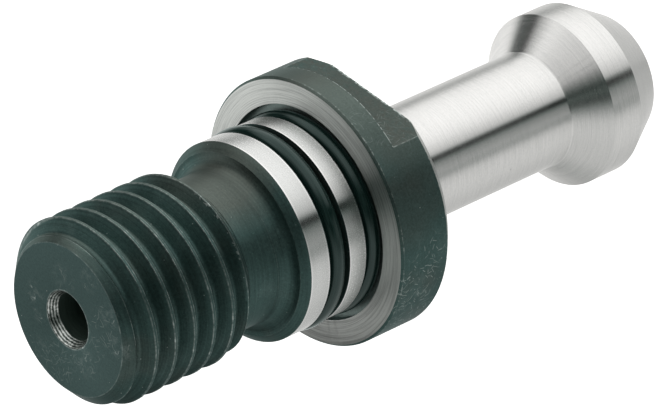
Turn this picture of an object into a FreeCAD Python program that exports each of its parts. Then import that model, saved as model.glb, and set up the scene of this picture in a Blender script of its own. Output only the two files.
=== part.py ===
import FreeCAD, Part
import os
import Sketcher
from FreeCAD import Vector

# Pull stud for a steep-taper tool holder, standing on the end of its head.
# The stud's axis is +Z, the thread end is at the top, and the origin is the
# middle of the head's end face. Millimetres.

doc = FreeCAD.newDocument("PullStud")

drivingSizes = [
    ("HeadReach", 35.0, "end of the head to the contact face of the flange"),
    ("GripReach", 28.0, "contact face to the large end of the grip cone"),
    ("HeadDiameter", 15.0, "rim of the head"),
    ("HeadRimWidth", 3.05, "cylindrical rim behind the grip cone"),
    ("HeadBackAngle", 30.0, "slope of the back cone, from the axis, in degrees"),
    ("HeadEndBreak", 0.46, "broken edge of the end face, along each side"),
    ("GripAngle", 45.0, "slope of the grip cone, from the axis, in degrees"),
    ("StemDiameter", 10.0, "stem between the head and the flange"),
    ("FlangeDiameter", 23.0, "flange over its round band"),
    ("FlangeWidth", 5.9, "contact face to the back of the flange"),
    ("FlangeBandWidth", 2.3, "full round band in front of the wrench flats"),
    ("FlangeFaceBreak", 0.2, "broken edge round the contact face"),
    ("FlangeBackBreak", 0.95, "chamfer round the back, at 45 degrees"),
    ("AcrossFlats", 19.0, "wrench size"),
    ("PilotDiameter", 17.0, "ground lands that centre the stud in the holder"),
    ("PilotLength", 7.6, "contact face to the front of the pilot collar"),
    ("PilotChamferWidth", 0.6, "lead-in chamfer along the axis"),
    ("PilotChamferDepth", 0.7, "lead-in chamfer across the axis"),
    ("FrontLandWidth", 2.1, "ground land before the seal groove"),
    ("RearLandWidth", 1.85, "ground land after the seal groove"),
    ("SealGrooveWidth", 2.05, "groove of the pilot ring"),
    ("SealRootDiameter", 14.3, "floor of both seal grooves"),
    ("SealCord", 1.5, "thickness of the rubber rings"),
    ("SealSeatGap", 0.02, "clearance of a ring to the walls it sits on"),
    ("FaceRecessDiameter", 18.4, "recess in the contact face round the pilot"),
    ("FaceRecessDepth", 0.75, "depth of that recess"),
    ("ReliefDiameter", 13.0, "neck between the pilot and the thread"),
    ("ReliefLength", 5.55, "front of the pilot collar to the last full crest"),
    ("ReliefRound", 1.1, "fillet where the neck meets the pilot"),
    ("ThreadDiameter", 15.86, "outside of the M16 thread, within its tolerance"),
    ("ThreadPitch", 2.0, "advance in one turn"),
    ("ThreadDepth", 1.16, "outside to the floor of the groove"),
    ("ThreadLength", 11.85, "thread end to the last full crest"),
    ("ThreadFloorWidth", 0.42, "flat at the floor of the groove"),
    ("ThreadPhase", 1.33, "thread end to the middle of the groove, on the +X side"),
    ("EndChamfer", 1.5, "lead-in of the thread, at 45 degrees"),
    ("BoreDiameter", 4.0, "coolant bore, right through"),
    ("MouthDiameter", 4.88, "wide end of the centre hole at both mouths"),
    ("MouthAngle", 60.0, "full angle of the centre holes, in degrees"),
]

sheet = doc.addObject("Spreadsheet::Sheet", "Sizes")
for row, (alias, value, note) in enumerate(drivingSizes, start=1):
    sheet.set("A%d" % row, note)
    sheet.set("B%d" % row, str(value))
    sheet.setAlias("B%d" % row, alias)
doc.recompute()

# Heights above the head's end face, as expressions of the driving sizes
contactFace = "Sizes.HeadReach"
gripEdge = "(Sizes.HeadReach - Sizes.GripReach)"
backEdge = "(%s - Sizes.HeadRimWidth)" % gripEdge
coneFoot = "(%s + (Sizes.HeadDiameter - Sizes.StemDiameter) / 2 / tan(Sizes.GripAngle * 1 deg))" % gripEdge
flangeBack = "(Sizes.HeadReach - Sizes.FlangeWidth)"
pilotFront = "(Sizes.HeadReach + Sizes.PilotLength)"
frontLandStart = "(%s - Sizes.PilotChamferWidth)" % pilotFront
sealGrooveTop = "(%s - Sizes.FrontLandWidth)" % frontLandStart
sealGrooveFloor = "(%s - Sizes.SealGrooveWidth)" % sealGrooveTop
rearLandEnd = "(%s - Sizes.RearLandWidth)" % sealGrooveFloor
threadTail = "(%s + Sizes.ReliefLength)" % pilotFront
threadEnd = "(%s + Sizes.ThreadLength)" % threadTail
mouthDepth = "((Sizes.MouthDiameter - Sizes.BoreDiameter) / 2 / tan(Sizes.MouthAngle / 2 * 1 deg))"
headEndRadius = "(Sizes.HeadDiameter / 2 - %s * tan(Sizes.HeadBackAngle * 1 deg))" % backEdge


def originFeature(body, role):
    """One of the body's own origin planes or axes."""
    for feature in body.Origin.OriginFeatures:
        if feature.Role == role:
            return feature
    raise RuntimeError("%s has no %s" % (body.Label, role))


def newBody(name):
    body = doc.addObject("PartDesign::Body", name)
    body.Label = name
    return body


def attachedSketch(body, name, plane):
    sketch = body.newObject("Sketcher::SketchObject", name)
    sketch.AttachmentSupport = [(originFeature(body, plane), "")]
    sketch.MapMode = "FlatFace"
    return sketch


def bindPoint(sketch, geometry, point, name, across, along):
    """Holds a point at (across, along) from the sketch origin; None lies on the axis."""
    if across is None:
        sketch.addConstraint(Sketcher.Constraint("PointOnObject", geometry, point, -2))
    else:
        index = sketch.addConstraint(Sketcher.Constraint("DistanceX", -1, 1, geometry, point, 1.0))
        sketch.renameConstraint(index, name + "Across")
        sketch.setExpression("Constraints." + name + "Across", across)
    if along is None:
        sketch.addConstraint(Sketcher.Constraint("PointOnObject", geometry, point, -1))
    else:
        index = sketch.addConstraint(Sketcher.Constraint("DistanceY", -1, 1, geometry, point, 1.0))
        sketch.renameConstraint(index, name + "Along")
        sketch.setExpression("Constraints." + name + "Along", along)


def outlineSketch(body, name, plane, corners):
    """Closed outline whose corners are (name, across, along) expressions."""
    sketch = attachedSketch(body, name, plane)
    count = len(corners)
    # a loose fan of lines, which the constraints then draw into place
    rough = [Vector(1.0 + 0.1 * i, 1.0 + 0.5 * i * (i % 3 + 1), 0) for i in range(count)]
    for i in range(count):
        sketch.addGeometry(Part.LineSegment(rough[i], rough[(i + 1) % count]), False)
    for i in range(count):
        sketch.addConstraint(Sketcher.Constraint("Coincident", i, 2, (i + 1) % count, 1))
    for i, (corner, across, along) in enumerate(corners):
        bindPoint(sketch, i, 1, corner, across, along)
    return sketch


def turned(body, kind, name, sketch):
    """Revolution or Groove of a sketch, a full turn about the stud's axis."""
    feature = body.newObject(kind, name)
    feature.Profile = sketch
    feature.ReferenceAxis = (originFeature(body, "Z_Axis"), [""])
    feature.Angle = 360.0
    return feature


def checkedCut(body, feature):
    """Recomputes a cut and makes sure that it took material away."""
    before = feature.BaseFeature.Shape.Volume
    doc.recompute()
    if not feature.Shape.Volume < before - 1e-6:
        raise RuntimeError("%s cut nothing" % feature.Label)
    body.Tip = feature


def circleEdges(shape, radius, height):
    """Names of the round edges of a radius at a height on the stud's axis."""
    names = []
    for i, edge in enumerate(shape.Edges, start=1):
        curve = edge.Curve
        if isinstance(curve, Part.Circle) and abs(curve.Radius - radius) < 1e-4:
            if abs(curve.Center.z - height) < 1e-4:
                names.append("Edge%d" % i)
    if not names:
        raise RuntimeError("no round edge at radius %g, height %g" % (radius, height))
    return names


cordSides = 8  # sides that draw the round section of a rubber ring

# The stud: one turned bar, threaded, grooved, milled for a wrench and bored

stud = newBody("stud_body")

blankSketch = outlineSketch(stud, "blankSketch", "XZ_Plane", [
    ("headMiddle", None, None),
    ("headEnd", headEndRadius, None),
    ("headBack", "Sizes.HeadDiameter / 2", backEdge),
    ("headGrip", "Sizes.HeadDiameter / 2", gripEdge),
    ("stemHead", "Sizes.StemDiameter / 2", coneFoot),
    ("stemFlange", "Sizes.StemDiameter / 2", flangeBack),
    ("flangeBackIn", "Sizes.FlangeDiameter / 2 - Sizes.FlangeBackBreak", flangeBack),
    ("flangeBackOut", "Sizes.FlangeDiameter / 2", flangeBack + " + Sizes.FlangeBackBreak"),
    ("flangeFaceOut", "Sizes.FlangeDiameter / 2", contactFace + " - Sizes.FlangeFaceBreak"),
    ("flangeFaceIn", "Sizes.FlangeDiameter / 2 - Sizes.FlangeFaceBreak", contactFace),
    ("pilotFoot", "Sizes.PilotDiameter / 2", contactFace),
    ("pilotChamferOut", "Sizes.PilotDiameter / 2", frontLandStart),
    ("pilotChamferIn", "Sizes.PilotDiameter / 2 - Sizes.PilotChamferDepth", pilotFront),
    ("reliefPilot", "Sizes.ReliefDiameter / 2", pilotFront),
    ("reliefThread", "Sizes.ReliefDiameter / 2",
     threadTail + " - (Sizes.ThreadDiameter - Sizes.ReliefDiameter) / 2"),
    ("threadTail", "Sizes.ThreadDiameter / 2", threadTail),
    ("threadLead", "Sizes.ThreadDiameter / 2", threadEnd + " - Sizes.EndChamfer"),
    ("threadFace", "Sizes.ThreadDiameter / 2 - Sizes.EndChamfer", threadEnd),
    ("threadMiddle", None, threadEnd),
])
blank = turned(stud, "PartDesign::Revolution", "blank", blankSketch)
doc.recompute()

# broken edge of the head's end, and the fillet at the foot of the neck
endEdges = circleEdges(blank.Shape, blankSketch.getDatum("headEndAcross").Value, 0.0)
headEndChamfer = stud.newObject("PartDesign::Chamfer", "headEndChamfer")
headEndChamfer.Base = (blank, endEdges)
headEndChamfer.setExpression("Size", "Sizes.HeadEndBreak")
doc.recompute()

neckEdges = circleEdges(headEndChamfer.Shape, sheet.ReliefDiameter / 2, sheet.HeadReach + sheet.PilotLength)
reliefFillet = stud.newObject("PartDesign::Fillet", "reliefFillet")
reliefFillet.Base = (headEndChamfer, neckEdges)
reliefFillet.setExpression("Radius", "Sizes.ReliefRound")
doc.recompute()

# groove of the pilot ring; it opens 1 mm past the ground land
sealGrooveSketch = outlineSketch(stud, "sealGrooveSketch", "XZ_Plane", [
    ("floorLow", "Sizes.SealRootDiameter / 2", sealGrooveFloor),
    ("openLow", "Sizes.PilotDiameter / 2 + 1", sealGrooveFloor),
    ("openHigh", "Sizes.PilotDiameter / 2 + 1", sealGrooveTop),
    ("floorHigh", "Sizes.SealRootDiameter / 2", sealGrooveTop),
])
sealGroove = turned(stud, "PartDesign::Groove", "sealGroove", sealGrooveSketch)
checkedCut(stud, sealGroove)

# corner groove of the face ring, sunk into the contact face
faceRecessSketch = outlineSketch(stud, "faceRecessSketch", "XZ_Plane", [
    ("floorIn", "Sizes.SealRootDiameter / 2", contactFace + " - Sizes.FaceRecessDepth"),
    ("floorOut", "Sizes.FaceRecessDiameter / 2", contactFace + " - Sizes.FaceRecessDepth"),
    ("openOut", "Sizes.FaceRecessDiameter / 2", rearLandEnd),
    ("openIn", "Sizes.SealRootDiameter / 2", rearLandEnd),
])
faceRecess = turned(stud, "PartDesign::Groove", "faceRecess", faceRecessSketch)
checkedCut(stud, faceRecess)

# coolant bore with a centre hole at each mouth
boreSketch = outlineSketch(stud, "boreSketch", "XZ_Plane", [
    ("axisLow", None, None),
    ("mouthLow", "Sizes.MouthDiameter / 2", None),
    ("boreLow", "Sizes.BoreDiameter / 2", mouthDepth),
    ("boreHigh", "Sizes.BoreDiameter / 2", threadEnd + " - " + mouthDepth),
    ("mouthHigh", "Sizes.MouthDiameter / 2", threadEnd),
    ("axisHigh", None, threadEnd),
])
bore = turned(stud, "PartDesign::Groove", "bore", boreSketch)
checkedCut(stud, bore)

# two wrench flats, milled from the back of the flange up to the round band
flatSketch = outlineSketch(stud, "flatSketch", "XY_Plane", [
    ("flatLeft", "-Sizes.FlangeDiameter / 2 - 1", "-Sizes.AcrossFlats / 2"),
    ("outLeft", "-Sizes.FlangeDiameter / 2 - 1", "-Sizes.FlangeDiameter / 2 - 1"),
    ("outRight", "Sizes.FlangeDiameter / 2 + 1", "-Sizes.FlangeDiameter / 2 - 1"),
    ("flatRight", "Sizes.FlangeDiameter / 2 + 1", "-Sizes.AcrossFlats / 2"),
])
flatSketch.setExpression("AttachmentOffset.Base.z", "%s - Sizes.FlangeBandWidth" % contactFace)
wrenchFlat = stud.newObject("PartDesign::Pocket", "wrenchFlat")
wrenchFlat.Profile = flatSketch
wrenchFlat.setExpression("Length", "Sizes.FlangeWidth - Sizes.FlangeBandWidth")
checkedCut(stud, wrenchFlat)

wrenchFlats = stud.newObject("PartDesign::PolarPattern", "wrenchFlats")
wrenchFlats.Originals = [wrenchFlat]
wrenchFlats.Axis = (originFeature(stud, "Z_Axis"), [""])
wrenchFlats.Angle = 360.0
wrenchFlats.Occurrences = 2
stud.Tip = wrenchFlats
doc.recompute()

# Coarse right-hand thread: a 60 degree groove wound about the axis. It starts in
# the open neck, a whole number of turns below its phase, and runs out of the end.
# Its open side stands just past the outside, so that its turns don't meet.
overhang = "Sizes.ThreadPitch / 20"
openSide = "(Sizes.ThreadDiameter / 2 + %s)" % overhang
floorSide = "(Sizes.ThreadDiameter / 2 - Sizes.ThreadDepth)"
halfFloor = "Sizes.ThreadFloorWidth / 2"
halfOpen = "(%s + (Sizes.ThreadDepth + %s) * tan(30 deg))" % (halfFloor, overhang)
tailRoom = "(Sizes.ThreadLength + (Sizes.ThreadDiameter - Sizes.ReliefDiameter) / 2 + %s)" % halfOpen
wholeTurns = "ceil((%s - Sizes.ThreadPhase) / Sizes.ThreadPitch)" % tailRoom
grooveStart = "(%s - Sizes.ThreadPhase - Sizes.ThreadPitch * %s)" % (threadEnd, wholeTurns)
threadSketch = outlineSketch(stud, "threadSketch", "XZ_Plane", [
    ("floorLow", floorSide, "%s - %s" % (grooveStart, halfFloor)),
    ("openLow", openSide, "%s - %s" % (grooveStart, halfOpen)),
    ("openHigh", openSide, "%s + %s" % (grooveStart, halfOpen)),
    ("floorHigh", floorSide, "%s + %s" % (grooveStart, halfFloor)),
])
thread = stud.newObject("PartDesign::SubtractiveHelix", "thread")
thread.Profile = threadSketch
thread.ReferenceAxis = (originFeature(stud, "Z_Axis"), [""])
thread.Mode = "pitch-height-angle"
thread.LeftHanded = False
thread.Reversed = False
thread.setExpression("Pitch", "Sizes.ThreadPitch")
thread.setExpression("Height", "%s + Sizes.ThreadPitch - %s" % (threadEnd, grooveStart))
checkedCut(stud, thread)


def rubberRing(name, height):
    """A ring of round cord that sits on the floor of its groove; few sides draw its section."""
    ring = newBody(name)
    middle = "((Sizes.SealRootDiameter + Sizes.SealCord) / 2 + Sizes.SealSeatGap)"
    corners = []
    for i in range(cordSides):
        turn = "%g deg" % (360.0 * i / cordSides)
        corners.append(("side%d" % i,
                        "%s + Sizes.SealCord / 2 * cos(%s)" % (middle, turn),
                        "%s + Sizes.SealCord / 2 * sin(%s)" % (height, turn)))
    section = outlineSketch(ring, name + "Section", "XZ_Plane", corners)
    turned(ring, "PartDesign::Revolution", name + "Turn", section)
    doc.recompute()


rubberRing("pilot_o_ring", "(%s + %s) / 2" % (sealGrooveTop, sealGrooveFloor))
rubberRing("face_o_ring", "%s - Sizes.FaceRecessDepth + Sizes.SealSeatGap + Sizes.SealCord / 2" % contactFace)

doc.recompute()

for item in doc.Objects:
    if "Invalid" in item.State or "Error" in item.State:
        raise RuntimeError("%s failed: %s" % (item.Label, item.State))

os.makedirs("parts", exist_ok=True)
for body in doc.findObjects("PartDesign::Body"):
    shape = body.Shape
    if shape.isNull() or not shape.isValid():
        raise RuntimeError("%s has no valid shape" % body.Label)
    if len(shape.Solids) != 1:
        raise RuntimeError("%s is %d solids" % (body.Label, len(shape.Solids)))
    shape.exportStep("parts/%s.step" % body.Label)
    box = shape.BoundBox
    print("%-14s %9.1f mm3  x %.2f..%.2f  y %.2f..%.2f  z %.2f..%.2f"
          % (body.Label, shape.Volume, box.XMin, box.XMax, box.YMin, box.YMax, box.ZMin, box.ZMax))
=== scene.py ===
import bmesh
import bpy
import math
import numpy as np
from mathutils import Matrix


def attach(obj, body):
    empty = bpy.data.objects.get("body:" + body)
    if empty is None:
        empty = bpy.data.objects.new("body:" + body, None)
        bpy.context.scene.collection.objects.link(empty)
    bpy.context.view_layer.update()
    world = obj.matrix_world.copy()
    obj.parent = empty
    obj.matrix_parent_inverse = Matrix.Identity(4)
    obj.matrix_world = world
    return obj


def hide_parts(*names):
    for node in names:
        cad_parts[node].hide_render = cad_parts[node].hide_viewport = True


# Pull stud with two rubber rings, standing on the end of its head. Shapes are worked out
# in millimetres and put into the mesh in metres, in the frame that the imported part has.

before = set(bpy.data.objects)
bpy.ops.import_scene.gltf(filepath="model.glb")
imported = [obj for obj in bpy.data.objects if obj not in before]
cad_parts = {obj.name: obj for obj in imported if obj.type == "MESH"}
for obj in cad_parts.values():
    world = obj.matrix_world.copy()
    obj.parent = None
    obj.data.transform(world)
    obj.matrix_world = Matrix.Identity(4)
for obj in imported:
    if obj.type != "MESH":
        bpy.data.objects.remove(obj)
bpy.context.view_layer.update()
scene = bpy.context.scene
millimetre = 0.001           # in metres
tiny = 1e-9                  # in mm, a length or an area that counts as nothing


# sRGB hex to linear RGBA, as the shader sockets want it
def linear(hexColour):
    parts = [int(hexColour[i:i + 2], 16) / 255 for i in (1, 3, 5)]
    return [c / 12.92 if c <= 0.04045 else ((c + 0.055) / 1.055) ** 2.4 for c in parts] + [1.0]


# adds one node. Its kind is the type after ShaderNode, and a word after the dot is its
# operation or data type. Values fill the inputs in use, in order; names in small letters
# are the node's own settings, the others are inputs, with _ for a space. A value that is
# a node stands for its first output in use. Stops fill a colour ramp: place, and a hex
# colour, a linear one or a grey level
def add(tree, kind, *values, stops=(), **named):
    kind, _, mode = kind.partition(".")
    node = tree.nodes.new("ShaderNode" + kind)
    if mode:
        setattr(node, "operation" if hasattr(node, "operation") else "data_type", mode)
    given = list(zip([socket for socket in node.inputs if socket.enabled], values))
    for name, value in named.items():
        if name[0].islower():
            setattr(node, name, value)
        else:
            given.append((node.inputs[name.replace("_", " ")], value))
    for socket, value in given:
        if isinstance(value, bpy.types.Node):
            value = next(output for output in value.outputs if output.enabled)
        if isinstance(value, bpy.types.NodeSocket):
            tree.links.new(value, socket)
        else:
            socket.default_value = linear(value) if isinstance(value, str) else value
    if stops:
        elements = node.color_ramp.elements
        elements.remove(elements[0])
        for i, (position, value) in enumerate(stops):
            element = elements.new(position) if i else elements[0]
            element.position = position
            if isinstance(value, (int, float)):
                value = (value, value, value, 1)
            element.color = linear(value) if isinstance(value, str) else value
    return node


print("stage: helpers ready")


# the stud's sizes in millimetres; heights are from the end of the head
stud = {
    "columns": 288,                                  # steps round the axis
    "arcPoints": (5, 11), "largeArc": 0.2,           # points of a small and a large rounding
    "boreRadius": 2.00, "centreRadius": 2.44, "centreDepth": 0.762,
    "headEndRadius": 5.22, "headRadius": 7.50, "headFront": 3.95, "headBack": 7.00,
    "stemRadius": 5.00, "stemStart": 9.50,
    "flangeRadius": 11.5, "flangeBack": 29.1, "backBreak": 0.95, "faceBreak": 0.20,
    "flatRadius": 9.5,                               # half of the 19 mm across the flats
    "flatStep": 32.70,                               # the flats end at the round band
    "contactFace": 35.00, "recessRadius": 9.20, "recessFloor": 34.25,
    "landRadius": 8.50, "rearLand": (36.00, 37.85), "frontLand": (39.90, 42.00),
    "landBreak": 0.14,                               # a land's black lower edge
    "ringSeat": 7.15,                                # radius of the grooves for the rings
    "pilotLead": (7.80, 42.60),                      # end of the front chamfer: radius, height
    "neckRadius": 6.5, "neckFillet": 1.10,
    "threadFoot": 46.72,                             # the neck meets the thread's tail
    "threadTail": 48.15, "threadLead": 58.5,         # first and last full crest
    "threadEnd": 60.0, "endRadius": 6.43,
    "crestRadius": 7.93, "floorRadius": 6.77, "floorHalf": 0.21,
    "pitch": 2.0, "flankAngle": 30,                  # a flank leans by half of the 60 degrees
    "grooveStart": 44.67,                            # a height of the groove's middle at +X
    "crestSoftness": 0.03, "rootSoftness": 0.16,     # how far crests and roots are rounded
    # rows of points on each side of the groove's middle, closer where the flank ends
    "threadRows": [0.10, 0.17, 0.22, 0.29, 0.40, 0.54, 0.70, 0.82, 0.86, 0.88, 0.90, 0.94],
    "threadTurns": (-1, 10),                         # turns that cover the thread
}

# zones of the turned outline: each is one material slot
oxide, head, land, face, drill, boreWall = range(6)


# the outline from the thread end inwards, down the bore, and out and up from the head:
# radius, height, rounding of this corner, zone of the stretch that follows
def studOutline():
    s = stud
    top, foot = s["threadEnd"], 0.0
    flange, back, front = s["flangeRadius"], s["flangeBack"], s["contactFace"]
    return [
        (s["endRadius"], top, 0.00, oxide),
        (s["centreRadius"], top, 0.05, drill),
        (s["boreRadius"], top - s["centreDepth"], 0.00, boreWall),
        (s["boreRadius"], s["centreDepth"], 0.00, drill),
        (s["centreRadius"], foot, 0.05, head),
        (s["headEndRadius"], foot, 0.80, head),
        (s["headRadius"], s["headFront"], 0.10, head),
        (s["headRadius"], s["headBack"], 0.06, head),
        (s["stemRadius"], s["stemStart"], 0.30, head),
        (s["stemRadius"], back, 0.00, face),
        (flange - s["backBreak"], back, 0.00, face),
        (flange, back + s["backBreak"], 0.00, oxide),
        (flange, s["flatStep"], 0.00, oxide),
        (flange, front - s["faceBreak"], 0.05, oxide),
        (flange - s["faceBreak"], front, 0.03, face),
        (s["recessRadius"], front, 0.05, oxide),
        (s["recessRadius"], s["recessFloor"], 0.00, oxide),
        (s["ringSeat"], s["recessFloor"], 0.00, oxide),
        (s["ringSeat"], s["rearLand"][0], 0.00, oxide),
        (s["landRadius"], s["rearLand"][0], s["landBreak"], land),
        (s["landRadius"], s["rearLand"][1], 0.04, oxide),
        (s["ringSeat"], s["rearLand"][1], 0.00, oxide),
        (s["ringSeat"], s["frontLand"][0], 0.00, oxide),
        (s["landRadius"], s["frontLand"][0], s["landBreak"], land),
        (s["landRadius"], s["frontLand"][1], 0.03, oxide),
        (*s["pilotLead"], 0.05, oxide),
        (s["neckRadius"], s["pilotLead"][1], s["neckFillet"], oxide),
        (s["neckRadius"], s["threadFoot"], 0.00, oxide),
    ]


# each rounded corner becomes an arc that touches both sides: its centre lies on the
# bisector, and its points turn evenly from one tangent point to the other. An arc
# changes zone halfway, but a land's lower one stays black
def roundedOutline(corners):
    radii, heights, zones = [], [], []
    last = len(corners) - 1
    for i, (r, z, rounding, zone) in enumerate(corners):
        here = np.array([r, z])
        points = here[None, :]
        if rounding > 0 and i not in (0, last):
            before = np.array(corners[i - 1][:2]) - here
            after = np.array(corners[i + 1][:2]) - here
            before, after = before / np.linalg.norm(before), after / np.linalg.norm(after)
            half = math.acos(np.clip(before @ after, -1, 1)) / 2
            bisector = (before + after) / np.linalg.norm(before + after)
            middle = here + bisector * rounding / math.sin(half)
            reach = rounding / math.tan(half)
            start, end = here + before * reach - middle, here + after * reach - middle
            turn = math.pi - 2 * half
            count = stud["arcPoints"][int(rounding >= stud["largeArc"])]
            t = np.linspace(0, 1, count)[:, None]
            arc = np.sin((1 - t) * turn) * start + np.sin(t * turn) * end
            points = middle + arc / math.sin(turn)
        for p, (pr, pz) in enumerate(points):
            radii.append(pr)
            heights.append(pz)
            own = len(points) - 1 if zone == land else len(points) // 2
            zones.append(corners[i - 1][3] if len(points) > 1 and p < own else zone)
    return np.array(radii), np.array(heights), np.array(zones)


# the height from a groove's middle, which climbs one pitch a turn
def fromGroove(z, angle):
    middle = stud["grooveStart"] + stud["pitch"] * angle / (2 * math.pi)
    half = stud["pitch"] / 2
    return np.abs((z - middle + half) % stud["pitch"] - half)


# radius of the 60 degree groove: flat for the floor, then out along both flanks
def grooveRadius(z, angle):
    lean = math.tan(math.radians(stud["flankAngle"]))
    return stud["floorRadius"] + (fromGroove(z, angle) - stud["floorHalf"]) / lean


# radius of the bar before the thread is cut: a cylinder between two 45 degree cones
def blankRadius(z):
    s = stud
    return np.minimum(s["crestRadius"], np.minimum(s["neckRadius"] + z - s["threadFoot"],
                                                   s["endRadius"] + s["threadEnd"] - z))


# the lower of groove and bar, by soft maximum and minimum round the root and the crest
def threadRadius(z, angle):
    groove, floor = grooveRadius(z, angle), stud["floorRadius"]
    k = stud["rootSoftness"]
    h = np.clip(0.5 + 0.5 * (groove - floor) / k, 0, 1)
    groove = floor * (1 - h) + groove * h + k * h * (1 - h)
    blank = blankRadius(z)
    k = stud["crestSoftness"]
    h = np.clip(0.5 + 0.5 * (groove - blank) / k, 0, 1)
    return groove * (1 - h) + blank * h - k * h * (1 - h)


# even angles round the axis, with the nearest ones moved onto the corners of the flats
def studColumns():
    s = stud
    angles = np.linspace(0, 2 * math.pi, s["columns"], endpoint=False)
    step = angles[1]
    for radius in (s["flangeRadius"], s["flangeRadius"] - s["backBreak"]):
        swing = math.acos(s["flatRadius"] / radius)
        for middle in (math.pi / 2, 3 * math.pi / 2):
            for wanted in (middle - swing, middle + swing):
                angles[int(round(wanted / step)) % len(angles)] = wanted
    return np.append(np.sort(angles), 2 * math.pi)


# the outline carried round the axis: a point is (radius cos a, radius sin a, height), and
# on the wrench flats the radius is cut to flatRadius / |sin a|
def turnedSurface(angles):
    s = stud
    radii, heights, zones = roundedOutline(studOutline())
    r = np.repeat(radii[:, None], len(angles), 1)
    z = np.repeat(heights[:, None], len(angles), 1)
    flat = s["flatRadius"] / np.maximum(np.abs(np.sin(angles)), tiny)
    milled = (heights >= s["flangeBack"] - tiny) & (heights < s["flatStep"] + tiny)
    rows = np.where(milled & (radii > s["flatRadius"]))[0]
    r[rows] = np.minimum(r[rows], flat)
    rise = np.clip(flat - (s["flangeRadius"] - s["backBreak"]), 0, s["backBreak"])
    z[rows[1]] = s["flangeBack"] + rise          # where a flat cuts the back's chamfer
    step = rows[-1]                              # one more row there, out to the full band
    r = np.insert(r, step + 1, s["flangeRadius"], axis=0)
    z = np.insert(z, step + 1, s["flatStep"], axis=0)
    zones = np.insert(zones, step + 1, zones[step])
    along = np.concatenate([[0], np.cumsum(np.hypot(np.diff(r[:, 0]), np.diff(z[:, 0])))])
    return r, z, zones, along


# rows that follow the helix, so that crests and roots lie along them, held between the
# neck and the end face; the row nearest a chamfer's end in each column moves onto it
def threadSurface(angles):
    s = stud
    side = np.array(s["threadRows"])
    turn = np.concatenate([-side[::-1], [0.0], side, [s["pitch"] / 2]])
    turns = np.arange(*s["threadTurns"])
    base = (s["grooveStart"] + s["pitch"] * turns[:, None] + turn[None, :]).ravel()
    z = base[:, None] + s["pitch"] * angles[None, :] / (2 * math.pi)
    for level in (s["threadTail"], s["threadLead"]):
        nearest = np.argmin(np.abs(z - level), axis=0)
        z[nearest, np.arange(len(angles))] = level
    z = np.clip(z, s["threadFoot"], s["threadEnd"])
    keep = np.where((z.max(axis=1) > s["threadFoot"]) & (z.min(axis=1) < s["threadEnd"]))[0]
    z = z[max(keep[0] - 1, 0):keep[-1] + 2]
    r = threadRadius(z, angles[None, :])
    r = np.where(z <= s["threadFoot"] + tiny, s["neckRadius"], r)
    r = np.where(z >= s["threadEnd"] - tiny, s["endRadius"], r)
    return r, z


# index quads of a grid, row by row
def gridFaces(rows, columns):
    j, i = np.meshgrid(np.arange(rows - 1), np.arange(columns - 1), indexing="ij")
    a = j * columns + i
    return np.stack([a, a + 1, a + columns + 1, a + columns], -1).reshape(-1, 4)


# points in mm and lists of a face's points become one mesh object
def meshObject(name, points, faces, materials, zones=None, attributes=None):
    mesh = bpy.data.meshes.new(name)
    mesh.from_pydata((points * millimetre).tolist(), [], faces)
    for material in materials:
        mesh.materials.append(material)
    if zones is not None:
        mesh.polygons.foreach_set("material_index", np.asarray(zones, dtype=np.int32))
    for label, values in (attributes or {}).items():
        layer = mesh.attributes.new(label, "FLOAT", "POINT")
        layer.data.foreach_set("value", np.asarray(values, dtype=np.float32))
    mesh.update()
    piece = bpy.data.objects.new(name, mesh)
    scene.collection.objects.link(piece)
    return piece


welding = {
    "doubles": 2e-7, "noLength": 1e-8,   # in metres
    "sharpAngle": 28,                    # in degrees, an edge is sharp from here
    "faceWeight": 60,                    # how much the large faces steer the normals
}


# merges the seam's doubles, drops what has no area, turns normals outwards and marks the
# sharp edges
def weld(piece):
    work = bmesh.new()
    work.from_mesh(piece.data)
    bmesh.ops.remove_doubles(work, verts=work.verts, dist=welding["doubles"])
    bmesh.ops.dissolve_degenerate(work, edges=work.edges, dist=welding["noLength"])
    bmesh.ops.recalc_face_normals(work, faces=work.faces)
    for f in work.faces:
        f.smooth = True
    work.to_mesh(piece.data)
    work.free()
    piece.data.set_sharp_from_angle(angle=math.radians(welding["sharpAngle"]))
    weights = piece.modifiers.new("weightedNormals", "WEIGHTED_NORMAL")
    weights.keep_sharp = True
    weights.weight = welding["faceWeight"]


print("stage: shapes ready")


skinDepth = 0.01 * millimetre        # how deep the finest marks are, for the bumps
usual = (0.3, 0.7)                   # the span that most of a noise's values lie in


# object coordinates in mm, the same as (distance from the axis, height, 0), and the way out
# from the axis
def placeNodes(tree):
    coordinates = add(tree, "TexCoord").outputs["Object"]
    place = add(tree, "VectorMath.SCALE", coordinates, 1 / millimetre)
    level = add(tree, "VectorMath.MULTIPLY", place, (1, 1, 0))
    height = add(tree, "SeparateXYZ", place).outputs["Z"]
    profile = add(tree, "CombineXYZ", add(tree, "VectorMath.LENGTH", level), height)
    return place, profile, add(tree, "VectorMath.NORMALIZE", level)


# a noise drawn out along the circumference, as a cutting tool leaves it: it changes with
# the distance along the outline, by the pitch of the marks, and slowly round the axis,
# with no seam
def turningMarks(tree, outward, pitch, around, detail=2.0, rough=0.6):
    circle = add(tree, "VectorMath.SCALE", outward, around)
    along = add(tree, "Attribute", attribute_name="along").outputs["Fac"]
    feed = add(tree, "Math.DIVIDE", along, pitch)
    across = add(tree, "CombineXYZ", Z=feed)
    where = add(tree, "VectorMath.ADD", circle, across)
    return add(tree, "TexNoise", where, 1.0, detail, rough)


def newMaterial(name):
    material = bpy.data.materials.new(name)
    material.use_nodes = True
    material.node_tree.nodes.clear()
    return material, material.node_tree


# the largest of several values
def largest(tree, values):
    total = values[0]
    for value in values[1:]:
        total = add(tree, "Math.MAXIMUM", total, value)
    return total


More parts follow.
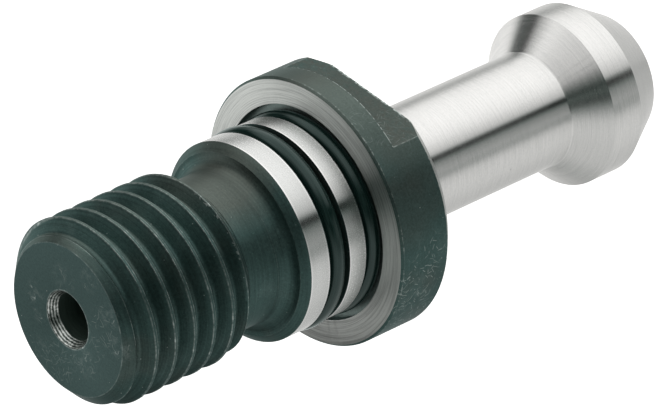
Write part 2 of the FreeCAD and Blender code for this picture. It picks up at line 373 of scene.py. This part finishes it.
# each patch's strength about its place, gone at its radius; the nearest patch counts
def nearPatches(tree, place, patches, core=0.55):
    return largest(tree, [
        add(tree, "MapRange", add(tree, "VectorMath.DISTANCE", place, spot),
            radius * core, radius, strength, 0.0)
        for spot, radius, strength in patches])


# the same about an edge of the outline, which is a circle round the axis
def nearEdge(tree, profile, core, radius, height, width, strength):
    away = add(tree, "VectorMath.DISTANCE", profile, (radius, height, 0))
    return add(tree, "MapRange", away, width * core, width, strength, 0.0)


oxideLook = {
    # magnetite skin, its cloudy and its browner parts
    "base": "#475f5c", "light": "#546b68", "brown": "#565b56",
    "end": "#506664",                    # the handled end face
    "recess": "#8d9c99",                 # the recess under the face ring
    "worn": "#bcc7c4",                   # bare steel under rubbed edges
    "scuff": "#bfcbc8",                  # what handling leaves on the skin
    "edgeTint": "#cbd3d3",               # of what the skin mirrors at a low angle
    "metal": 0.86, "roughness": 0.42, "anisotropy": 0.45, "turnPitch": 0.13,
    "paintedLightSide": (-0.42, 0.91, 0.0), "paintedLight": 0.6,     # painted light: the side that faces the big soft light, and how much lighter and browner it is painted
    # worn edges of the outline: radius, height, half width, strength
    "edges": [(6.43, 60.00, 0.07, 0.32), (2.44, 60.00, 0.13, 0.85), (11.50, 34.80, 0.06, 0.16),
              (11.50, 30.05, 0.06, 0.25), (8.50, 42.00, 0.06, 0.35), (7.80, 42.60, 0.05, 0.14),
              (7.93, 58.50, 0.09, 0.30), (6.50, 43.72, 0.07, 0.10)],
    # edges with chips only: radius, height, half width, strength
    "chipped": [(11.50, 34.80, 0.07, 0.35), (11.50, 30.05, 0.08, 0.5)],
    # the last thread's chipped edge, and where it is chipped: place, radius, strength
    "lastThread": (7.93, 48.20, 0.28, 1.0),
    "lastChips": [((4.4, 6.2, 48.0), 4.8, 1.0), ((8.0, 0.0, 48.0), 4.0, 0.5)],
    "flatCorner": (6.48, 9.50, 0.0),     # where a flat meets the round flange, in quadrant x, y
    # where the skin is browner: place, radius, strength
    "browned": [((-1.0, 6.4, 45.0), 5.5, 0.75), ((1.5, 10.8, 34.0), 8.0, 0.55),
                ((9.8, 6.0, 34.0), 4.0, 0.3)],
    # where curly scuffs lie: place, radius, strength
    "scuffs": [((-3.9, 0.1, 60.0), 1.3, 1.0), ((1.9, 5.0, 60.0), 1.2, 0.7),
               ((4.5, 3.2, 60.0), 1.3, 1.0), ((-3.2, -1.4, 60.0), 1.0, 0.7),
               ((2.4, -2.6, 60.0), 1.6, 0.6), ((-2.7, -4.5, 60.0), 1.2, 0.6),
               ((5.9, 0.9, 60.0), 1.4, 0.8), ((-1.0, 3.4, 60.0), 1.6, 0.5),
               ((2.9, 10.9, 33.8), 1.6, 0.10), ((11.3, -1.6, 33.6), 2.6, 0.5)],
    # where short straight scratches lie
    "scratches": [((11.2, -1.0, 33.4), 3.4, 0.6), ((11.2, 1.6, 31.8), 2.2, 0.4),
                  ((10.6, -4.4, 32.6), 3.0, 0.6), ((4.4, 9.6, 31.0), 3.0, 0.18),
                  ((4.3, 10.8, 33.6), 2.6, 0.15), ((2.2, -1.2, 60.0), 3.2, 0.25),
                  ((4.0, 1.6, 60.0), 2.0, 0.35), ((-0.5, -4.6, 60.0), 2.6, 0.25)],
    # short and long scratches: cells per mm, width, length, share of cells, shift of cells
    "scratchKinds": [(2.1, 0.034, 0.30, 0.75, (0, 0, 0)), (1.1, 0.028, 0.55, 0.6, (5, 3, 9))],
    "specks": (1.5, 0.080, 0.32),        # cells per mm, radius, share of cells
    # noises over the skin, by what they do: scale per mm, detail, roughness, and then the
    # span that is kept and what it becomes
    "noises": {
        "browner": (0.21, 3.0, 0.5, 0.52, 0.68, 0.0, 0.35),
        "mottle": (2.6, 4.0, 0.7, 0.35, 0.65, 0.25, 0.95),      # on the milled flats
        "glint": (7.5, 1.0, 0.5, 0.64, 0.74, 0.0, 0.35),        # the skin's crystals
        "broken": (1.3, 2.0, 0.5, 0.48, 0.62, 0.0, 1.0),        # interrupts the curly scuffs
        "smudge": (1.6, 4.0, 0.7, 0.48, 0.72, 0.0, 0.28),       # lies under them
        "nibble": (2.4, 3.0, 0.6, 0.40, 0.60, 0.2, 1.0),        # eats into worn edges
        "flecks": (1.6, 2.0, 0.5, 0.60, 0.66, 1.0, 2.2),        # brightens bits of them
        "chips": (2.3, 2.0, 0.5, 0.55, 0.59, 0.0, 1.0),
        "dashes": (3.6, 2.0, 0.5, 0.42, 0.54, 0.0, 1.0),        # along the flats' edges
        "crestWear": (0.45, 4.0, 0.7, 0.36, 0.64, 0.22, 1.0),
        "nicks": (2.1, 2.0, 0.5, 0.62, 0.68, 1.0, 1.7),         # on the crests
    },
}


# one short straight scratch in each cell of a voronoi grid, each with its own direction:
# where a random plane through the cell's middle cuts the surface
def scratches(tree, place, scale, width, length, share, shift):
    place = add(tree, "VectorMath.ADD", place, shift)
    waver = add(tree, "TexNoise", place, 0.8).outputs["Color"]
    bent = add(tree, "VectorMath.ADD", place, add(tree, "VectorMath.SCALE", waver, 0.5))
    cells = add(tree, "TexVoronoi", bent, scale)
    offset = add(tree, "VectorMath.SUBTRACT", bent, cells.outputs["Position"])
    aim = add(tree, "VectorMath.SUBTRACT", cells.outputs["Color"], (0.5, 0.5, 0.5))
    aim = add(tree, "VectorMath.NORMALIZE", aim)
    apart = add(tree, "Math.ABSOLUTE", add(tree, "VectorMath.DOT_PRODUCT", offset, aim))
    line = add(tree, "MapRange", apart, width * 0.4, width, 1.0, 0.0)
    away = add(tree, "VectorMath.LENGTH", offset)
    ends = add(tree, "MapRange", away, length * 0.6, length, 1.0, 0.0)
    chosen = add(tree, "SeparateColor", cells.outputs["Color"]).outputs["Blue"]
    chosen = add(tree, "Math.LESS_THAN", chosen, share)
    return add(tree, "Math.MULTIPLY", add(tree, "Math.MULTIPLY", line, ends), chosen)


# small round specks, in a share of the cells
def specks(tree, place, scale, radius, share):
    cells = add(tree, "TexVoronoi", place, scale)
    dot = add(tree, "MapRange", cells, radius * 0.5, radius, 1.0, 0.0)
    chosen = add(tree, "SeparateColor", cells.outputs["Color"])
    return add(tree, "Math.MULTIPLY", dot, add(tree, "Math.LESS_THAN", chosen, share))


# alloy steel, turned, hardened and hot-blacked: a thin magnetite skin over turning marks,
# rubbed to bare steel along its edges and crests
def blackOxideSteel():
    look = oxideLook
    material, tree = newMaterial("steelTurnedBlackOxide")
    place, profile, outward = placeNodes(tree)
    radius, height, _ = add(tree, "SeparateXYZ", profile).outputs
    quadrant = add(tree, "VectorMath.ABSOLUTE", place)
    _, aside, above = add(tree, "SeparateXYZ", quadrant).outputs
    marks = turningMarks(tree, outward, look["turnPitch"], 0.8, 1.0, 0.5)
    grain = add(tree, "TexNoise", place, 5.5, 3.0, 0.6)
    pattern = {}
    for name, (scale, detail, rough, *kept) in look["noises"].items():
        pattern[name] = add(tree, "MapRange", add(tree, "TexNoise", place, scale, detail, rough),
                            *kept)

    # clouds of lighter and browner skin
    cloud = add(tree, "TexNoise", place, 0.33, 4.0, 0.6)
    tone = add(tree, "ValToRGB", cloud, stops=[(0.50, look["base"]), (0.72, look["light"])])
    tone = add(tree, "Mix.RGBA", pattern["browner"], tone, look["brown"])
    tone = add(tree, "Mix.RGBA", nearPatches(tree, place, look["browned"]), tone, look["brown"])
    onEnd = add(tree, "Math.GREATER_THAN", height, stud["threadEnd"] - 0.03)
    tone = add(tree, "Mix.RGBA", onEnd, tone, look["end"])

    # the recess under the face ring is paler: inside its wall, between floor and face
    inRecess = add(tree, "MapRange", radius, stud["recessRadius"] + 0.01,
                   stud["recessRadius"] + 0.04, 1.0, 0.0)
    for side, level in (("LESS_THAN", stud["contactFace"] + 0.005),
                        ("GREATER_THAN", stud["recessFloor"] - 0.05)):
        inRecess = add(tree, "Math.MULTIPLY", inRecess, add(tree, "Math." + side, height, level))
    tone = add(tree, "Mix.RGBA", inRecess, tone, look["recess"])

    # the milled flats are browner, and mottled
    beyond = add(tree, "Math.GREATER_THAN", aside, stud["flatRadius"] - 0.02)
    underStep = add(tree, "Math.LESS_THAN", above, stud["flatStep"] + 0.02)
    onFlat = add(tree, "Math.MULTIPLY", beyond, underStep)
    mottled = add(tree, "Math.MULTIPLY", onFlat, pattern["mottle"])
    tone = add(tree, "Mix.RGBA", mottled, tone, look["brown"])

    # fine light and dark of the turning marks, which are faint on the flange and the end
    # face, and of the skin's crystals
    inside = add(tree, "MapRange", radius, 8.2, 9.2, 1.0, 0.25)
    under = add(tree, "MapRange", height, stud["threadEnd"] - 0.20, stud["threadEnd"] - 0.05,
                1.0, 0.2)
    turned = add(tree, "MapRange", marks, *usual, -0.15, 0.15)
    turned = add(tree, "Math.MULTIPLY", add(tree, "Math.MULTIPLY", inside, under), turned)
    fleck = add(tree, "Math.ADD", turned, add(tree, "MapRange", grain, *usual, -0.20, 0.20))
    fleck = add(tree, "Math.ADD", fleck, pattern["glint"])

    # painted light: the turned skin is painted lighter and browner on the side that faces the big
    # soft light, not on end face and flats, nor where a face looks up
    paintedLight = add(tree, "VectorMath.DOT_PRODUCT", outward, look["paintedLightSide"])
    paintedLight = add(tree, "MapRange", paintedLight, 0.6, 1.0, 0.0, look["paintedLight"])
    facing = add(tree, "SeparateXYZ", add(tree, "NewGeometry").outputs["Normal"]).outputs["Z"]
    upright = add(tree, "MapRange", facing, 0.72, 0.84, 1.0, 0.0)
    paintedLight = add(tree, "Math.MULTIPLY", paintedLight, upright)
    plain = add(tree, "Math.SUBTRACT", 1.0, add(tree, "Math.MAXIMUM", onEnd, onFlat))
    paintedLight = add(tree, "Math.MULTIPLY", paintedLight, plain)
    tone = add(tree, "Mix.RGBA", paintedLight, tone, look["brown"])
    fleck = add(tree, "Math.ADD", fleck, paintedLight)
    tone = add(tree, "HueSaturation", Value=add(tree, "Math.ADD", fleck, 1.0), Color=tone)

    # curly scuffs: thin lines where a noise crosses its middle value, over soft smudges,
    # with straight scratches and specks among them
    curl = add(tree, "TexNoise", place, 0.85, 1.5, 0.5, Distortion=0.5)
    line = add(tree, "ValToRGB", curl,
               stops=[(0.482, 0.0), (0.495, 0.8), (0.505, 0.8), (0.518, 0.0)])
    curls = add(tree, "Math.MULTIPLY", line, pattern["broken"])
    curls = add(tree, "Math.MAXIMUM", curls, pattern["smudge"])
    curls = add(tree, "Math.MULTIPLY", curls, nearPatches(tree, place, look["scuffs"]))
    cuts = largest(tree, [scratches(tree, place, *kind) for kind in look["scratchKinds"]])
    cuts = add(tree, "Math.MULTIPLY", cuts, nearPatches(tree, place, look["scratches"]))
    scuff = add(tree, "Math.MAXIMUM", curls, cuts)
    scuff = add(tree, "Math.MAXIMUM", scuff, specks(tree, place, *look["specks"]), use_clamp=True)
    scuff = add(tree, "Math.MULTIPLY", scuff, 0.85)
    colour = add(tree, "Mix.RGBA", scuff, tone, look["scuff"])

    # wear on the turned edges, eaten into by noises, and chips
    eaten = add(tree, "Math.MULTIPLY", pattern["nibble"], pattern["flecks"])
    wear = largest(tree, [nearEdge(tree, profile, 0.0, *edge) for edge in look["edges"]])
    wear = add(tree, "Math.MULTIPLY", wear, eaten)
    chipped = [nearEdge(tree, profile, 0.6, *edge) for edge in look["chipped"]]
    last = nearEdge(tree, profile, 0.6, *look["lastThread"])
    chipped.append(add(tree, "Math.MULTIPLY", last, nearPatches(tree, place, look["lastChips"])))
    chipped = add(tree, "Math.MULTIPLY", largest(tree, chipped), pattern["chips"])
    wear = add(tree, "Math.MAXIMUM", wear, chipped)

    # wear on the milled flats: their corners, the step to the round band, and the lip where
    # they meet the flange's back
    corner = add(tree, "VectorMath.DISTANCE", add(tree, "VectorMath.MULTIPLY", quadrant, (1, 1, 0)),
                 look["flatCorner"])
    corner = add(tree, "MapRange", corner, 0.0, 0.09, 0.55, 0.0)
    corner = add(tree, "Math.MULTIPLY", corner, underStep)
    corner = add(tree, "Math.MULTIPLY", corner, pattern["nibble"])
    step = add(tree, "Math.ABSOLUTE", add(tree, "Math.SUBTRACT", above, stud["flatStep"]))
    step = add(tree, "MapRange", step, 0.02, 0.065, 0.9, 0.0)
    outside = add(tree, "Math.GREATER_THAN", aside, stud["flatRadius"] + 0.02)
    step = add(tree, "Math.MULTIPLY", step, outside)
    lip = add(tree, "VectorMath.DISTANCE", add(tree, "VectorMath.MULTIPLY", quadrant, (0, 1, 1)),
              (0, stud["flatRadius"], stud["flangeBack"]))
    lip = add(tree, "MapRange", lip, 0.09, 0.20, 1.0, 0.0)
    straight = add(tree, "Math.MULTIPLY", add(tree, "Math.MAXIMUM", step, lip), pattern["dashes"])
    wear = largest(tree, [wear, straight, corner])

    # the thread's crests: ridge is how far the groove's flank would stand above the bar
    ridge = add(tree, "Attribute", attribute_name="ridge").outputs["Fac"]
    crest = add(tree, "MapRange", ridge, 0.0, 0.3)
    crest = add(tree, "ValToRGB", crest, stops=[(0.66, 0.0), (0.80, 1.0)])
    uneven = add(tree, "Math.MULTIPLY", pattern["crestWear"], pattern["nicks"])
    crest = add(tree, "Math.MULTIPLY", crest, uneven)
    crest = add(tree, "Math.MULTIPLY", crest, add(tree, "MapRange", radius, 7.55, 7.75))
    # on the chamfers the groove starts with a thin flecked edge
    start = add(tree, "MapRange", ridge, -0.15, 0.15)
    start = add(tree, "ValToRGB", start, stops=[(0.18, 0.0), (0.42, 1.0), (0.58, 1.0), (0.82, 0.0)])
    start = add(tree, "Math.MULTIPLY", start, add(tree, "MapRange", radius, 6.55, 6.70, 0.0, 0.55))
    start = add(tree, "Math.MULTIPLY", start, eaten)
    crest = add(tree, "Math.MAXIMUM", crest, start)
    wear = add(tree, "Math.MAXIMUM", wear, crest, use_clamp=True)
    colour = add(tree, "Mix.RGBA", wear, colour, look["worn"])

    rough = add(tree, "MapRange", grain, *usual, look["roughness"] - 0.05, look["roughness"] + 0.07)
    rough = add(tree, "Math.SUBTRACT", rough, add(tree, "Math.MULTIPLY", wear, 0.12))
    bump = add(tree, "Bump", Strength=0.35, Distance=skinDepth, Height=marks)
    bump = add(tree, "Bump", Strength=0.25, Distance=skinDepth, Height=grain, Normal=bump)
    shader = add(tree, "BsdfPrincipled", colour, look["metal"], rough, Normal=bump,
                 Specular_Tint=look["edgeTint"], Anisotropic=look["anisotropy"],
                 Anisotropic_Rotation=0.25,
                 Tangent=add(tree, "Tangent", direction_type="RADIAL", axis="Z"))
    add(tree, "OutputMaterial", shader)
    return material


# bare steels: the marks' two tones, their pitch in mm and how strong they are in the bump,
# how far the grain shows among them, how far the normals lean outwards, and the edges
# with a painted highlight, a thin white line for their glint: radius, height
steelLook = {
    "steelTurnedBright": {
        "base": "#f4f4f3", "dark": "#e2e3e2", "roughness": 0.240, "anisotropy": 1.0,
        "pitch": 0.060, "depth": 0.045, "grain": 0.38, "lean": 0.0, "paintedGlintEdges": []},
    "steelGroundLand": {
        "base": "#ebedec", "dark": "#dddfde", "roughness": 0.255, "anisotropy": 1.0,
        "pitch": 0.060, "depth": 0.04, "grain": 0.55, "lean": 0.0,
        "paintedGlintEdges": [(8.5, 36.14), (8.5, 37.85), (8.5, 40.04), (8.5, 42.0)]},
    "steelFacedContact": {
        "base": "#d0d4d1", "dark": "#a5a9a7", "roughness": 0.32, "anisotropy": 0.92,
        "pitch": 0.085, "depth": 0.10, "grain": 0.10, "lean": 0.20, "paintedGlintEdges": []},
}


# bare steel cut or ground on its own axis: fine rings along the circumference, which
# spread a reflection along the axis and keep it narrow round it; a faced ring's feed
# marks are lopsided, so that its normals lean outwards
def brightSteel(name):
    look = steelLook[name]
    material, tree = newMaterial(name)
    place, profile, outward = placeNodes(tree)
    marks = turningMarks(tree, outward, look["pitch"], 1.8, 3.0, 0.65)
    grain = add(tree, "TexNoise", place, 8.5, 2.0, 0.6)
    mixed = add(tree, "Math.ADD", add(tree, "Math.MULTIPLY", marks, 1.0 - look["grain"]),
                add(tree, "Math.MULTIPLY", grain, look["grain"]))
    colour = add(tree, "ValToRGB", mixed, stops=[(0.36, look["dark"]), (0.58, look["base"])])
    # painted highlight: a thin white line along each listed edge stands in for its glint
    for radius, height in look["paintedGlintEdges"]:
        near = nearEdge(tree, profile, 0.5, radius, height, 0.16, 1.0)
        colour = add(tree, "Mix.RGBA", near, colour, "#ffffff")
    stain = add(tree, "Math.MULTIPLY", specks(tree, place, 0.8, 0.05, 0.04), 0.6)
    colour = add(tree, "Mix.RGBA", stain, colour, "#3b3f3e")
    rough = add(tree, "MapRange", mixed, *usual, look["roughness"] * 0.88, look["roughness"] * 1.15)
    normal = add(tree, "NewGeometry").outputs["Normal"]
    if look["lean"]:
        lean = add(tree, "VectorMath.SCALE", outward, look["lean"])
        normal = add(tree, "VectorMath.NORMALIZE", add(tree, "VectorMath.ADD", normal, lean))
    bump = add(tree, "Bump", Strength=look["depth"], Distance=skinDepth, Height=mixed,
               Normal=normal)
    shader = add(tree, "BsdfPrincipled", colour, 1.0, rough, Normal=bump,
                 Anisotropic=look["anisotropy"], Anisotropic_Rotation=0.25,
                 Tangent=add(tree, "Tangent", direction_type="RADIAL", axis="Z"))
    add(tree, "OutputMaterial", shader)
    return material


# drilled steel: metal is less where the blacking bath has left its skin, pitch is that of
# the drill's marks in mm, and depth is how strong they are in the bump
drillLook = {
    "centre": {"metal": 1.0, "roughness": 0.34, "pitch": 0.24, "wander": 2.4, "rings": 0.16,
               "depth": 0.6, "tones": [(0.28, "#2a3331"), (0.48, "#6c7571"), (0.70, "#e2e7e4")]},
    "bore": {"metal": 0.2, "roughness": 0.55, "pitch": 0.3, "depth": 0.4,
             "tones": [(0.3, "#33443d"), (0.7, "#4a5b54")]},
}


# the centre hole: drilled, with a few coarse chatter rings that catch the light
def drilledCentre():
    look = drillLook["centre"]
    material, tree = newMaterial("steelDrilledCentre")
    place = placeNodes(tree)[0]
    wobble = add(tree, "Math.MULTIPLY", add(tree, "TexNoise", place, 0.9), look["wander"])
    along = add(tree, "Attribute", attribute_name="along").outputs["Fac"]
    turns = add(tree, "Math.MULTIPLY", along, 2 * math.pi / look["pitch"])
    ring = add(tree, "Math.SINE", add(tree, "Math.ADD", turns, wobble))
    fine = add(tree, "TexNoise", place, 3.2, 3.0, 0.8)
    mixed = add(tree, "Math.ADD", add(tree, "Math.MULTIPLY", ring, look["rings"]), fine)
    colour = add(tree, "ValToRGB", mixed, stops=look["tones"])
    bump = add(tree, "Bump", Strength=look["depth"], Distance=2 * skinDepth, Height=mixed)
    shader = add(tree, "BsdfPrincipled", colour, look["metal"], look["roughness"], Normal=bump)
    add(tree, "OutputMaterial", shader)
    return material


# the drilled bore: dull and dark green-black, from the blacking bath
def drilledBore():
    look = drillLook["bore"]
    material, tree = newMaterial("steelDrilledBore")
    marks = turningMarks(tree, placeNodes(tree)[2], look["pitch"], 1.0)
    colour = add(tree, "ValToRGB", marks, stops=look["tones"])
    bump = add(tree, "Bump", Strength=look["depth"], Distance=2 * skinDepth, Height=marks)
    shader = add(tree, "BsdfPrincipled", colour, look["metal"], look["roughness"], Normal=bump)
    add(tree, "OutputMaterial", shader)
    return material


rubberLook = {
    "base": "#172825", "streak": "#2f413e", "lint": "#8b9692",
    "tint": "#d4fffa", "coatTint": "#e7fffd",
    "index": 1.45, "coat": 0.5, "coatRoughness": 0.07,     # an oily film
}


# moulded nitrile rubber: smooth and a little oily, with lint, and lighter streaks round it that are
# partly fine scuffs and partly painted highlight lines
def nitrileRubber():
    look = rubberLook
    material, tree = newMaterial("rubberMouldedNitrile")
    place, profile, outward = placeNodes(tree)
    grain = add(tree, "TexNoise", place, 4.5, 3.0, 0.6)
    drawn = add(tree, "VectorMath.ADD", add(tree, "VectorMath.SCALE", outward, 2.5),
                add(tree, "VectorMath.SCALE", profile, 7.0))
    streak = add(tree, "TexNoise", drawn, 1.0)
    # painted highlight, in part: the lighter streaks follow the cord round the ring like thin
    # highlight lines
    colour = add(tree, "Mix.RGBA", add(tree, "MapRange", streak, 0.5, 0.7, 0.0, 0.6),
                 look["base"], look["streak"])
    lint = add(tree, "Math.MULTIPLY", specks(tree, place, 0.9, 0.05, 0.10), 0.6)
    colour = add(tree, "Mix.RGBA", lint, colour, look["lint"])
    rough = add(tree, "MapRange", streak, *usual, 0.11, 0.20)
    bump = add(tree, "Bump", Strength=0.2, Distance=skinDepth, Height=grain)
    bump = add(tree, "Bump", Strength=0.7, Distance=3 * skinDepth, Height=streak, Normal=bump)
    shader = add(tree, "BsdfPrincipled", colour, 0.0, rough, look["index"], Normal=bump,
                 Specular_Tint=look["tint"], Coat_Weight=look["coat"],
                 Coat_Roughness=look["coatRoughness"], Coat_Tint=look["coatTint"])
    add(tree, "OutputMaterial", shader)
    return material


zoneMaterials = [blackOxideSteel(), *(brightSteel(name) for name in steelLook),
                 drilledCentre(), drilledBore()]
rubber = nitrileRubber()
print("stage: materials ready")


# of a quad's two diagonals, the one whose middle lies nearer the true thread surface is
# used, and triangles with no area are left out
def threadTriangles(r, z, a, points, quads):
    middle = (a[quads[:, 0]] + a[quads[:, 1]]) / 2
    miss = []
    for p, q in ((0, 2), (1, 3)):
        height = (z[quads[:, p]] + z[quads[:, q]]) / 2
        miss.append(np.abs((r[quads[:, p]] + r[quads[:, q]]) / 2 - threadRadius(height, middle)))
    first = (miss[0] <= miss[1])[:, None]
    triangles = np.concatenate([np.where(first, quads[:, [0, 1, 2]], quads[:, [0, 1, 3]]),
                                np.where(first, quads[:, [0, 2, 3]], quads[:, [1, 2, 3]])])
    corner, second, third = (points[triangles[:, i]] for i in range(3))
    area = np.linalg.norm(np.cross(second - corner, third - corner), axis=1)
    return triangles[area > tiny]


# the turned surface and the threaded one share the circles at the neck and the end face,
# and are welded into one closed skin
def buildStud():
    angles = studColumns()
    columns = len(angles)
    r, z, zones, along = turnedSurface(angles)
    points = np.stack([r * np.cos(angles), r * np.sin(angles), z], -1).reshape(-1, 3)
    faces = gridFaces(*r.shape).tolist()
    faceZones = np.repeat(zones[:-1], columns - 1)

    r, z = threadSurface(angles)
    threadPoints = np.stack([r * np.cos(angles), r * np.sin(angles), z], -1).reshape(-1, 3)
    quads = gridFaces(*r.shape)
    shape, r, z, a = r.shape, r.ravel(), z.ravel(), np.tile(angles, len(r))
    triangles = threadTriangles(r, z, a, threadPoints, quads) + len(points)

    # the shared circles at either end carry no crest
    ridge = (grooveRadius(z, a) - blankRadius(z)).reshape(shape)
    ridge[[0, -1]] = -1.0
    attributes = {
        "along": np.concatenate([np.repeat(along, columns), along[-1] + 2 * fromGroove(z, a)]),
        "ridge": np.concatenate([np.full(len(points), -1.0), ridge.ravel()]),
    }
    piece = meshObject("stud", np.concatenate([points, threadPoints]), faces + triangles.tolist(),
                       zoneMaterials, np.append(faceZones, np.full(len(triangles), oxide)),
                       attributes)
    weld(piece)
    return piece


studPiece = buildStud()
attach(studPiece, "root")
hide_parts("stud_body")
print("stage: stud has", len(studPiece.data.polygons), "faces")


# the rings' sizes in mm, steps round the axis and round the cord, and for each ring the
# CAD node that it stands for and its height
rings = {
    "cordRadius": 0.75, "middleRadius": 7.92, "around": 288, "section": 28,
    "heights": {"pilotRing": ("pilot_o_ring", 38.875), "faceRing": ("face_o_ring", 35.02)},
}


# a torus: a point is the middle circle's point plus the cord's radius times the section's
# direction, out from the axis by cosine and up by sine
def buildRing(name, height):
    t = np.linspace(0, 2 * math.pi, rings["around"] + 1)
    p = np.linspace(0, 2 * math.pi, rings["section"] + 1)
    tt, pp = np.meshgrid(t, p, indexing="ij")
    reach = rings["middleRadius"] + rings["cordRadius"] * np.cos(pp)
    rise = height + rings["cordRadius"] * np.sin(pp)
    points = np.stack([reach * np.cos(tt), reach * np.sin(tt), rise], -1).reshape(-1, 3)
    piece = meshObject(name, points, gridFaces(len(t), len(p)).tolist(), [rubber])
    weld(piece)
    return piece


for name, (node, height) in rings["heights"].items():
    ring = buildRing(name, height)
    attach(ring, "root")
    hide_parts(node)
print("stage: rings ready")


studio = {
    "floorColour": "#f4f4f4", "floorGlow": 0.92,
    "floorHalf": 3000.0, "floorHeight": -0.02,             # in mm, just under the stud
    "up": (-0.1698, 0.9855, 0.0),    # where the big soft light stands, seen from the stud
    "strength": 1.7,
    # dim parts are greener: how much red and blue there is in bright light, and how much of
    # it is lost as the light falls below greenBelow
    "greenBelow": 0.15, "red": (1.01, 0.40), "blue": (0.985, 0.14),
    # where one run gives way to the next, by the height of a direction, from -1 to 1
    "tableToBelow": (-0.93, -0.80), "belowToAbove": (-0.28, 0.08), "aboveToTop": (0.6, 0.95),
    "table": 0.33,                   # brightness straight below
    # bearing round the stud's axis in degrees, brightness
    "below": [(-180, 0.51), (-155, 0.49), (-130, 0.53), (-105, 0.34), (-80, 0.34), (-55, 0.39),
              (-35, 0.39), (-20, 0.35), (-8, 0.17), (2, 0.24), (10, 0.19), (16, 0.15),
              (21, 0.07), (25, 0), (29, 0), (32, 0.12), (35, 0.3), (39, 0.39), (46, 0.47),
              (56, 0.56), (70, 0.64), (88, 0.68), (108, 0.67), (128, 0.63), (142, 0.59),
              (151, 0.39), (157, 0.22), (162, 0.14), (166, 0.21), (170, 0.37), (175, 0.5),
              (180, 0.51)],
    "above": [(-180, 0.51), (-155, 0.77), (-130, 0), (-105, 0.21), (-80, 0.33), (-55, 0.35),
              (-35, 0.4), (-20, 0.4), (-8, 0.26), (2, 0.1), (10, 0), (16, 0.03), (21, 0.06),
              (25, 0.04), (29, 0.03), (32, 0.05), (35, 0.08), (39, 0.12), (46, 0.23),
              (56, 0.44), (70, 0.53), (88, 0.52), (108, 0.52), (128, 0.58), (142, 0.34),
              (151, 0), (157, 0.01), (162, 0.02), (166, 0), (170, 0.11), (175, 0.34),
              (180, 0.51)],
    "top": [(-180, 0.32), (-150, 0.13), (-120, 0.14), (-90, 0.2), (-60, 0.13), (-30, 0.11),
            (0, 0.08), (30, 0), (60, 0), (90, 0), (120, 0), (150, 0.21), (180, 0.32)],
}


def buildFloor():
    material, tree = newMaterial("paperSeamless")
    paper = add(tree, "BsdfDiffuse", studio["floorColour"])
    glow = add(tree, "Emission", "#ffffff", studio["floorGlow"])
    add(tree, "OutputMaterial", add(tree, "AddShader", paper, glow))
    half, height = studio["floorHalf"], studio["floorHeight"]
    corners = np.array([(x * half, y * half, height)
                        for x, y in ((-1, -1), (1, -1), (1, 1), (-1, 1))])
    floor = meshObject("floor", corners, [[0, 1, 2, 3]], [material])
    floor.visible_glossy = False     # the steel mirrors the soft studio, not the paper
    floor.visible_shadow = False
    floor.visible_diffuse = False


def studioColour(level):
    fall = math.exp(-level * studio["strength"] / studio["greenBelow"])
    red, blue = (share - loss * fall for share, loss in (studio["red"], studio["blue"]))
    return (level * red, level, level * blue, 1.0)


# a soft studio all round: its brightness goes by the bearing of a direction round the
# stud's axis, from the dark gap beside the camera over the wide overhead light to the
# grey table. There is one such run for directions below the stud, one for those above and
# one for the top, and the table is straight below
def buildStudioLight():
    world = bpy.data.worlds.new("softStudio")
    world.use_nodes = True
    tree = world.node_tree
    tree.nodes.clear()
    way = add(tree, "TexCoord").outputs["Generated"]
    up = studio["up"]
    lift = add(tree, "VectorMath.DOT_PRODUCT", way, up)
    aside = add(tree, "VectorMath.DOT_PRODUCT", way, (up[1], -up[0], 0.0))
    bearing = add(tree, "MapRange", add(tree, "Math.ARCTAN2", lift, aside), -math.pi, math.pi)
    height = add(tree, "SeparateXYZ", way).outputs["Z"]
    runs = {}
    for run in ("below", "above", "top"):
        stops = [(0.5 + degrees / 360, studioColour(level)) for degrees, level in studio[run]]
        runs[run] = add(tree, "ValToRGB", bearing, stops=stops)
    light = studioColour(studio["table"])
    for change, run in (("tableToBelow", "below"), ("belowToAbove", "above"),
                        ("aboveToTop", "top")):
        factor = add(tree, "MapRange", height, *studio[change])
        light = add(tree, "Mix.RGBA", factor, light, runs[run])
    add(tree, "OutputWorld", add(tree, "Background", light, studio["strength"]))
    scene.world = world


# the photo's view, from a fit to it: the camera's own directions, and its place in metres
view = {
    "lens": 320.007, "sensor": 36.0,
    "right": (0.67321, 0.11331, -0.73072), "up": (-0.49671, 0.80134, -0.33336),
    "back": (0.54778, 0.58738, 0.59575), "place": (0.25987, 0.27759, 0.31446),
}


def buildCamera():
    data = bpy.data.cameras.new("camera")
    data.sensor_width = view["sensor"]
    data.lens = view["lens"]
    data.clip_end = 20
    camera = bpy.data.objects.new("camera", data)
    turn = Matrix((view["right"], view["up"], view["back"])).transposed().to_4x4()
    turn.translation = view["place"]
    camera.matrix_world = turn
    scene.collection.objects.link(camera)
    scene.camera = camera


buildFloor()
buildStudioLight()
buildCamera()
scene.view_settings.view_transform = "Standard"
print("stage: studio ready")
